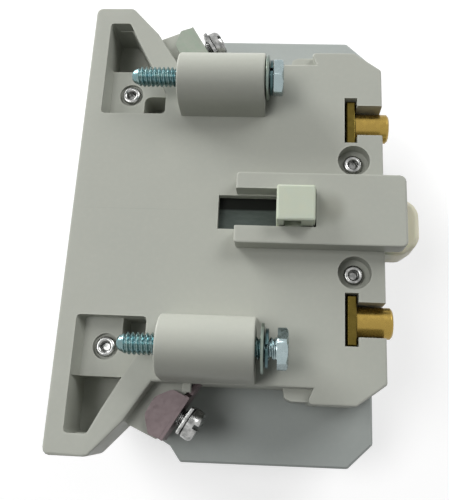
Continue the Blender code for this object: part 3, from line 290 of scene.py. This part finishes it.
def nylon():
    """Translucent nylon, with painted olive shade in the button's notch and painted light, warmer,
    at the nose.
    """
    finish = Finish("natural_nylon", (0.49, 0.54, 0.45), 0.42)
    finish.shader.inputs["Specular IOR Level"].default_value = 0.25
    finish.tint(finish.span(finish.noise(2.6, 3.0), 0.0, 1.0), (0.53, 0.55, 0.43), 0.6)
    # painted shade: the recess under the button's south side is darkened to olive
    notch_shade = finish.spot(place(52.5, -3.9, 5.8), (2.3, 0.9, 2.6), soft=0.4)
    finish.tint(notch_shade, (0.3, 0.31, 0.2), 0.6)
    # painted light: the nose past x 76 is lit up in a warmer colour where it sits in shade
    nose_painted_light = finish.beyond(0, place(76.0, 0.0).x, 1.5)
    finish.tint(nose_painted_light, (0.94, 0.9, 0.7))
    finish.gloss(finish.noise(1.5), 0.35, 0.5)
    finish.relief((finish.noise(0.5, 2.0), 0.005), (finish.noise(4.0, 1.0), 0.03))
    finish.shader.inputs["Subsurface Weight"].default_value = 0.25
    finish.shader.inputs["Subsurface Radius"].default_value = (0.0009, 0.001, 0.0007)
    finish.shader.inputs["Subsurface Scale"].default_value = 1.0
    return finish.material


def fibre():
    """Dark fibre with streaks along X, and a painted shadow band along its upper side."""
    streaks = (0.3, 1.0, 1.0)
    finish = Finish("dark_fibre", (0.078, 0.097, 0.088), 0.6)
    finish.shader.inputs["Specular IOR Level"].default_value = 0.1
    finish.tint(finish.span(finish.noise(0.6, 4.0, streaks), 0.0, 1.0), (0.105, 0.122, 0.113), 0.7)
    # painted shadow: a near-black band along the upper side, under the window's upper wall
    finish.tint(finish.beyond(1, 1.3 * MM, 0.25), (0.006, 0.007, 0.005), 0.97)
    finish.relief((finish.noise(0.4, 3.0, streaks), 0.01))
    return finish.material


def metal(name, colour, other, rough, grain=1.6, stretch=(1.0, 1.0, 1.0), marks=0.004):
    """A plated or machined metal with blotches, uneven gloss and fine tool marks. On the plated
    steel the dark blotches are painted dark reflection.
    """
    finish = Finish(name, colour, rough[0], 1.0)
    finish.tint(finish.span(finish.noise(grain, 3.0), 0.0, 1.0, 0.35, 0.65), other, 0.8)
    finish.gloss(finish.noise(grain * 0.6, 4.0), *rough)
    finish.relief((finish.noise(0.25, 2.0, stretch), marks))
    return finish


def tarnish(name, colour, other):
    """Tarnished plating."""
    finish = Finish(name, colour, 0.42, 0.35)
    finish.tint(finish.span(finish.noise(1.8, 4.0), 0.0, 1.0), other, 0.9)
    finish.gloss(finish.noise(0.8, 3.0), 0.35, 0.55)
    finish.relief((finish.noise(0.3, 2.0), 0.008))
    return finish.material


# Shapes


def add_piece(name, mesh, material, node):
    """An object that stands for a CAD node and rides with it."""
    piece = bpy.data.objects.new(name, mesh)
    bpy.context.scene.collection.objects.link(piece)
    mesh.materials.clear()
    mesh.materials.append(material)
    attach(piece, nodes[node]["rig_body"])
    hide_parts(node)
    return piece


def mesh_from(builder, name):
    """A mesh from a bmesh in metres, with its normals outwards."""
    bmesh.ops.recalc_face_normals(builder, faces=builder.faces)
    mesh = bpy.data.meshes.new(name)
    builder.to_mesh(mesh)
    builder.free()
    return mesh


def smooth(mesh, angle=38.0):
    mesh.shade_smooth()
    mesh.set_sharp_from_angle(angle=math.radians(angle))


def carve(mesh, tools):
    """Takes the tools' meshes out of a mesh."""
    scene = bpy.context.scene
    target = bpy.data.objects.new("carved", mesh)
    scene.collection.objects.link(target)
    helpers = []
    for tool in tools:
        helper = bpy.data.objects.new("tool", tool)
        scene.collection.objects.link(helper)
        helpers.append(helper)
        step = target.modifiers.new("carve", "BOOLEAN")
        step.operation = "DIFFERENCE"
        step.solver = "EXACT"
        step.object = helper
    bpy.context.view_layer.update()
    graph = bpy.context.evaluated_depsgraph_get()
    result = bpy.data.meshes.new_from_object(target.evaluated_get(graph))
    for helper in helpers + [target]:
        bpy.data.objects.remove(helper, do_unlink=True)
    return result


def merge_flat(builder, corners, limit=math.radians(1.0)):
    """Joins flat neighbours into faces of a few corners, and never closes a hole."""
    for edge in list(builder.edges):
        if not edge.is_valid or len(edge.link_faces) != 2:
            continue
        first, second = edge.link_faces
        if len(first.verts) + len(second.verts) > corners:
            continue
        if first.normal.angle(second.normal, math.pi) > limit:
            continue
        shared = [other for other in first.edges if second in other.link_faces]
        if len(set(first.verts) & set(second.verts)) == len(shared) + 1:
            bmesh.utils.face_join((first, second)).normal_update()
    straight = [vert for vert in builder.verts
                if len(vert.link_edges) == 2 and vert.calc_edge_angle(math.pi) < limit]
    bmesh.ops.dissolve_verts(builder, verts=straight)


def rounded_copy(node, width, segments, material, corners=12):
    """A smooth-shaded copy of a solid, which stands for it.

    The width in millimetres is the most that an edge is rounded by. The clamp cuts it down to
    suit the shortest edges, so the housings, the slide and the contacts stay almost sharp.
    """
    mesh = bpy.data.meshes.new(node + "_shape")
    builder = bmesh.new()
    builder.from_mesh(nodes[node].data)
    bmesh.ops.remove_doubles(builder, verts=builder.verts, dist=1e-6)
    if corners:
        merge_flat(builder, corners)
    builder.to_mesh(mesh)
    builder.free()
    piece = add_piece(node + "_dressed", mesh, material, node)
    bevel = piece.modifiers.new("round", "BEVEL")
    bevel.width = width * MM
    bevel.segments = segments
    bevel.limit_method = "ANGLE"
    bevel.angle_limit = math.radians(40.0)
    bevel.use_clamp_overlap = True
    bevel.miter_outer = "MITER_ARC"
    mesh.shade_smooth()
    normals = piece.modifiers.new("normals", "WEIGHTED_NORMAL")
    normals.keep_sharp = True
    normals.weight = 50


def turned_mesh(profile, steps, closed=False):
    """Turns (radius, height) points in millimetres about Z."""
    builder = bmesh.new()
    rings = []
    for radius, height in profile:
        if radius <= 0.0:
            rings.append([builder.verts.new((0.0, 0.0, height * MM))])
            continue
        rings.append([builder.verts.new((radius * MM * math.cos(math.tau * step / steps),
                                         radius * MM * math.sin(math.tau * step / steps),
                                         height * MM)) for step in range(steps)])
    pairs = list(zip(rings, rings[1:]))
    if closed:
        pairs.append((rings[-1], rings[0]))
    for first, second in pairs:
        for step in range(steps):
            after = (step + 1) % steps
            corners = [first[step % len(first)], first[after % len(first)],
                       second[after % len(second)], second[step % len(second)]]
            builder.faces.new(list(dict.fromkeys(corners)))
    return builder


def threaded_mesh(outline, start, end, pitch, depth, steps=28):
    """A shank along Z from (radius, height) points, with a V thread between two heights."""
    def envelope(height):
        for (r0, h0), (r1, h1) in zip(outline, outline[1:]):
            if h0 <= height <= h1 and h1 > h0:
                return r0 + (r1 - r0) * (height - h0) / (h1 - h0)
        return outline[-1][0]

    largest = max(radius for radius, _ in outline)
    count = int((end - start) / pitch * 12)
    heights = [start + (end - start) * index / count for index in range(count + 1)]
    heights += [height for _, height in outline if height < start or height > end]
    builder = bmesh.new()
    rings = []
    for height in sorted(set(round(value, 5) for value in heights)):
        ring = []
        for step in range(steps):
            radius = envelope(height)
            if start < height < end:
                turn = (height / pitch - step / steps) % 1.0
                crest = min(max((abs(turn - 0.5) * 2 - 0.15) / 0.7, 0.0), 1.0)
                fade = min((end - height) / pitch, 1.0)
                radius = min(radius, largest - depth * (1.0 - crest) * fade)
            angle = math.tau * step / steps
            ring.append(builder.verts.new((radius * MM * math.cos(angle),
                                           radius * MM * math.sin(angle), height * MM)))
        rings.append(ring)
    for first, second in zip(rings, rings[1:]):
        for step in range(steps):
            after = (step + 1) % steps
            builder.faces.new((first[step], first[after], second[after], second[step]))
    builder.faces.new(rings[0])
    builder.faces.new(rings[-1])
    return builder


def aimed(builder, at, direction, roll=0.0):
    """Moves a bmesh drawn along Z to a point and a direction."""
    along = Vector(direction).normalized()
    side = Vector((0.0, 0.0, 1.0)) if abs(along.z) < 0.9 else Vector((1.0, 0.0, 0.0))
    first = (side - along * side.dot(along)).normalized()
    second = along.cross(first)
    spin = Matrix((first, second, along)).transposed().to_4x4()
    move = Matrix.Translation(at) @ spin @ Matrix.Rotation(roll, 4, "Z")
    bmesh.ops.transform(builder, matrix=move, verts=builder.verts)
    return builder


def box_builder(size, middle):
    builder = bmesh.new()
    bmesh.ops.create_cube(builder, size=1.0)
    bmesh.ops.scale(builder, verts=builder.verts, vec=[value * MM for value in size])
    bmesh.ops.translate(builder, verts=builder.verts, vec=[value * MM for value in middle])
    return builder


def hexagon_head(flats, thick, chamfer):
    """A hexagon head along Z from height 0, chamfered at its outer corners."""
    builder = bmesh.new()
    steps = 120
    blunt = flats / 2 * 1.127
    rings = [[], [], [], []]
    inner = flats / 2 * 0.95
    for step in range(steps):
        angle = math.tau * step / steps
        reach = min(flats / 2 / math.cos((angle % (math.pi / 3)) - math.pi / 6), blunt)
        top = thick - max(reach - inner, 0.0) * chamfer
        for ring, radius, height in ((rings[0], min(reach, flats / 2 * 1.09), 0.0),
                                     (rings[1], reach, max(reach - inner, 0.0) * 0.3),
                                     (rings[2], reach, top), (rings[3], inner, thick)):
            ring.append(builder.verts.new((radius * MM * math.cos(angle),
                                           radius * MM * math.sin(angle), height * MM)))
    for first, second in zip(rings, rings[1:]):
        for step in range(steps):
            after = (step + 1) % steps
            builder.faces.new((first[step], first[after], second[after], second[step]))
    builder.faces.new(rings[0])
    builder.faces.new(rings[3])
    return builder


def cross_tools(reach, half, depth, top, start):
    """Two tapered bars that cut a cross recess."""
    tools = []
    for turn in (start, start + math.pi / 2):
        builder = box_builder((2 * reach, 2 * half, 2 * depth), (0.0, 0.0, top))
        for vert in builder.verts:
            if vert.co.z < top * MM:
                vert.co.x *= 0.45
                vert.co.y *= 0.7
        bmesh.ops.rotate(builder, verts=builder.verts, matrix=Matrix.Rotation(turn, 3, "Z"))
        tools.append(builder)
    return tools


def joined(first, *others):
    """One mesh from several."""
    builder = bmesh.new()
    for mesh in (first, *others):
        builder.from_mesh(mesh)
    mesh = bpy.data.meshes.new(first.name)
    builder.to_mesh(mesh)
    builder.free()
    return mesh


def add_mounting_screw(label, side, material):
    """A captive screw: a full thread, a tapered tip and a hexagon head with a cross recess."""
    node = "mounting_screw_" + label
    low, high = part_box(node)
    length = (high.x - low.x) / MM - HEAD_THICK
    outline = [(THREAD_RADIUS * 0.45, -length), (THREAD_RADIUS * 0.65, -length + 0.45),
               (THREAD_RADIUS, -length + 2.2), (THREAD_RADIUS, 0.4)]
    shank = threaded_mesh(outline, -length + 0.4, -0.2, THREAD_PITCH, THREAD_DEPTH)
    seat = Vector((high.x - HEAD_THICK * MM, (low.y + high.y) / 2, (low.z + high.z) / 2))
    shank = mesh_from(aimed(shank, seat, (1, 0, 0)), node + "_shank")
    turn = 30 - side * HEAD_TURN
    head = mesh_from(hexagon_head(HEAD_FLATS, HEAD_THICK, 0.58), node + "_head")
    tools = [mesh_from(tool, "recess")
             for tool in cross_tools(2.4, 0.55, 1.3, HEAD_THICK, -math.radians(turn))]
    head = carve(head, tools)
    builder = bmesh.new()
    builder.from_mesh(head)
    head = mesh_from(aimed(builder, seat, (1, 0, 0), math.radians(turn)), node + "_head")
    mesh = joined(head, shank)
    smooth(mesh, 32.0)
    piece = add_piece(node + "_dressed", mesh, material, node)


def add_flat_washer(label, material):
    """A flat washer with blunted rims."""
    node = "flat_washer_" + label
    low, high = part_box(node)
    inner, outer = WASHER_BORE_RADIUS, (high.y - low.y) / 2 / MM
    thick = (high.x - low.x) / MM
    blunt = 0.14
    profile = [(inner, blunt), (inner + blunt, 0.0), (outer - blunt, 0.0), (outer, blunt),
               (outer, thick - blunt), (outer - blunt * 1.6, thick), (inner + blunt, thick),
               (inner, thick - blunt)]
    at = Vector((low.x, (low.y + high.y) / 2, (low.z + high.z) / 2))
    mesh = mesh_from(aimed(turned_mesh(profile, 64, True), at, (1, 0, 0)), node)
    smooth(mesh)
    add_piece(node + "_dressed", mesh, material, node)


def joint_of(name):
    """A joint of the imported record."""
    return next(joint for joint in frame["record"]["behaviour"]["joints"]
                if joint["name"] == name)


def add_terminal_screw(label, material):
    """A pan head with a slot, a threaded shank and a flat tip."""
    node = "terminal_screw_" + label
    joint = joint_of("clamp_lift_" + label)
    at = Vector(joint["pos_m"])
    along = Vector(joint["axis"]).normalized()
    spread = [(vert.co - at).dot(along) / MM for vert in nodes[node].data.vertices]
    tip, top = min(spread), max(spread)
    seat = top - PAN_THICK
    radius = PAN_RADIUS
    crown = [(0.0, seat), (radius - 0.15, seat), (radius, seat + 0.15), (radius, top - 1.15),
             (radius - 0.12, top - 0.7), (radius - 0.42, top - 0.32), (radius - 0.95, top - 0.08),
             (radius - 1.6, top), (0.0, top)]
    cap = carve(mesh_from(turned_mesh(crown, 56), node + "_cap"),
                [mesh_from(box_builder((1.0, 9.0, 2.2), (0.0, 0.0, top)), "slot")])
    builder = bmesh.new()
    builder.from_mesh(cap)
    cap = mesh_from(aimed(builder, at, along, math.pi / 2), node + "_cap")
    outline = [(1.5, tip), (1.95, tip + 0.6), (1.95, seat + 0.3)]
    shank = threaded_mesh(outline, tip + 0.3, seat - 0.2, CLAMP_PITCH, CLAMP_THREAD_DEPTH)
    shank = mesh_from(aimed(shank, at, along), node + "_shank")
    mesh = joined(cap, shank)
    smooth(mesh, 32.0)
    piece = add_piece(node + "_dressed", mesh, material, node)


def add_rivet(label, material):
    """A tubular rivet with a rolled lip and a blind bore at each end."""
    node = "rivet_" + label
    low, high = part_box(node)
    base, top = low.z / MM, high.z / MM
    outer = (high.x - low.x) / 2 / MM
    bore = RIVET_BORE_RADIUS
    head = RIVET_HEAD
    middle = (outer + bore) / 2
    reach = (outer - bore) / 2
    lip = []
    for step in range(11):
        angle = math.pi * step / 10
        lip.append((middle - reach * math.cos(angle),
                    top - head + head * (0.35 + 0.65 * math.sin(angle))))
    upper = [(0.0, top - 1.7), (0.8, top - 1.7), (bore, top - 1.4)] + lip
    upper += [(outer - 0.1, top - head), (1.6, top - head)]
    lower = [(radius, base + top - height) for radius, height in reversed(upper)]
    at = Vector(((low.x + high.x) / 2, (low.y + high.y) / 2, 0.0))
    builder = turned_mesh(upper + lower, 48)
    bmesh.ops.translate(builder, verts=builder.verts, vec=at)
    mesh = mesh_from(builder, node)
    smooth(mesh, 50.0)
    add_piece(node + "_dressed", mesh, material, node)


def add_spring(node, material):
    """A smooth-shaded copy of a coil, with a mesh of its own."""
    mesh = nodes[node].data.copy()
    smooth(mesh, 60.0)
    piece = add_piece(node + "_dressed", mesh, material, node)
    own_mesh(piece)


# Stage


def white_where_seen(tree, lit, white):
    """Mixes in a white shader for rays from the camera, from gloss and through clear pieces."""
    path = tree.nodes.new("ShaderNodeLightPath")
    seen = path.outputs["Is Camera Ray"]
    for name in ("Is Glossy Ray", "Is Transmission Ray"):
        either = tree.nodes.new("ShaderNodeMath")
        either.operation = "MAXIMUM"
        tree.links.new(seen, either.inputs[0])
        tree.links.new(path.outputs[name], either.inputs[1])
        seen = either.outputs[0]
    mix = tree.nodes.new("ShaderNodeMixShader")
    tree.links.new(seen, mix.inputs[0])
    tree.links.new(lit, mix.inputs[1])
    tree.links.new(white, mix.inputs[2])
    return mix.outputs[0]


def add_stage():
    """A pale floor that keeps the block's shadow and shows white."""
    builder = bmesh.new()
    bmesh.ops.create_grid(builder, x_segments=1, y_segments=1, size=1.5)
    mesh = bpy.data.meshes.new("floor")
    builder.to_mesh(mesh)
    builder.free()
    floor = bpy.data.objects.new("floor", mesh)
    bpy.context.scene.collection.objects.link(floor)
    floor.location.z = cad_low.z - 0.5 * MM
    material = bpy.data.materials.new("pale_floor")
    material.use_nodes = True
    tree = material.node_tree
    tree.nodes.clear()
    out = tree.nodes.new("ShaderNodeOutputMaterial")
    diffuse = tree.nodes.new("ShaderNodeBsdfDiffuse")
    diffuse.inputs["Color"].default_value = (0.45, 0.45, 0.45, 1.0)
    white = tree.nodes.new("ShaderNodeBsdfDiffuse")
    white.inputs["Color"].default_value = (0.55, 0.55, 0.55, 1.0)
    glow = tree.nodes.new("ShaderNodeEmission")
    glow.inputs["Strength"].default_value = 0.6
    both = tree.nodes.new("ShaderNodeAddShader")
    tree.links.new(white.outputs[0], both.inputs[0])
    tree.links.new(glow.outputs[0], both.inputs[1])
    shown = white_where_seen(tree, diffuse.outputs[0], both.outputs[0])
    tree.links.new(shown, out.inputs["Surface"])
    mesh.materials.append(material)


def add_world(strength):
    """Even light from all round, which shows white."""
    world = bpy.data.worlds.new("studio")
    bpy.context.scene.world = world
    world.use_nodes = True
    tree = world.node_tree
    tree.nodes.clear()
    out = tree.nodes.new("ShaderNodeOutputWorld")
    even = tree.nodes.new("ShaderNodeBackground")
    even.inputs["Color"].default_value = (1.0, 1.0, 1.0, 1.0)
    even.inputs["Strength"].default_value = strength
    white = tree.nodes.new("ShaderNodeBackground")
    white.inputs["Color"].default_value = (1.0, 1.0, 1.0, 1.0)
    shown = white_where_seen(tree, even.outputs[0], white.outputs[0])
    tree.links.new(shown, out.inputs["Surface"])


def add_lamp(name, azimuth, elevation, power, size=1.05, distance=2.0):
    """A round soft lamp in a direction from the block, aimed at it."""
    data = bpy.data.lights.new(name, "AREA")
    data.shape = "DISK"
    data.size = size
    data.energy = power
    lamp = bpy.data.objects.new(name, data)
    bpy.context.scene.collection.objects.link(lamp)
    reach = distance * math.cos(math.radians(elevation))
    lamp.location = (reach * math.cos(math.radians(azimuth)),
                     reach * math.sin(math.radians(azimuth)),
                     distance * math.sin(math.radians(elevation)))
    lamp.rotation_mode = "QUATERNION"
    lamp.rotation_quaternion = lamp.location.to_track_quat("Z", "Y")
    lamp.visible_camera = False


def dress():
    """Gives every piece its shape and finish."""
    rounded_copy("front_housing", 0.3, 3, front_moulding())
    rounded_copy("rear_housing", 0.3, 3, rear_moulding())
    rounded_copy("contact_slide", 0.3, 3, nylon(), corners=0)
    zinc = metal("blue_zinc", (0.15, 0.26, 0.28), (0.22, 0.3, 0.29), (0.18, 0.36))
    # painted light: the last 2.4 mm of each screw, its head, is painted lighter than the shank
    zinc.tint(zinc.beyond(0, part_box("mounting_screw_upper")[1].x - 2.4 * MM),
              (0.34, 0.41, 0.42), 0.9)
    flat = metal("dull_zinc", (0.16, 0.2, 0.18), (0.21, 0.24, 0.2), (0.3, 0.48)).material
    split = metal("dark_zinc", (0.05, 0.09, 0.09), (0.075, 0.12, 0.13), (0.25, 0.42)).material
    # painted dark reflection: the plated steel's deep dark blotches stand in for dark surroundings
    # in its reflections
    nickel = metal("plated_steel", (0.42, 0.42, 0.41), (0.13, 0.135, 0.13), (0.16, 0.32),
                   1.1).material
    # painted shade: the recessed flange's brass is darker than the spigot's, which is lighter past
    # x 67.6
    brass = metal("brass", (0.12, 0.088, 0.02), (0.095, 0.07, 0.015), (0.2, 0.34), 2.0,
                  (0.12, 1.0, 1.0), 0.004)
    brass.tint(brass.beyond(0, place(67.6, 0.0).x), (0.36, 0.245, 0.062), 0.9)
    steel = metal("spring_steel", (0.42, 0.42, 0.41), (0.34, 0.34, 0.33), (0.3, 0.45)).material
    upper = tarnish("tarnished_tin", (0.25, 0.3, 0.24), (0.28, 0.3, 0.255))
    lower = tarnish("purple_tin", (0.125, 0.093, 0.096), (0.145, 0.11, 0.113))
    for label, side in SIDES.items():
        add_mounting_screw(label, side, zinc.material)
        add_flat_washer(label, flat)
        rounded_copy("lock_washer_" + label, 0.1, 2, split)
        rounded_copy("insert_" + label, 0.14, 2, brass.material)
        for level in ("front", "rear"):
            node = level + "_" + label
            add_terminal_screw(node, nickel)
            rounded_copy("clamp_washer_" + node, 0.1, 2, nickel)
            rounded_copy("fixed_contact_" + node, 0.12, 2, upper if side > 0 else lower)
        for end in ("left", "right"):
            add_rivet(end + "_" + label, nickel)
    for level in ("front", "rear"):
        rounded_copy(level + "_bridge", 0.1, 2, upper)
    left, right = 0, 1
    for spring, joint_name, end in (("return_spring", "contact_slide_travel", left),
                                    ("front_bridge_spring", "front_bridge_give", left),
                                    ("rear_bridge_spring", "rear_bridge_give", right)):
        add_spring(spring, steel)
    shield = nodes["window_shield"].data
    shield.materials.clear()
    shield.materials.append(fibre())


add_camera()
add_stage()
add_world(SURROUND_LIGHT)
add_lamp("key", 135, 15, 46.0)
add_lamp("right_fill", 45, 38, 18.0)
add_lamp("top_fill", 180, 62, 14.0)
dress()
bpy.context.scene.view_settings.view_transform = "Standard"
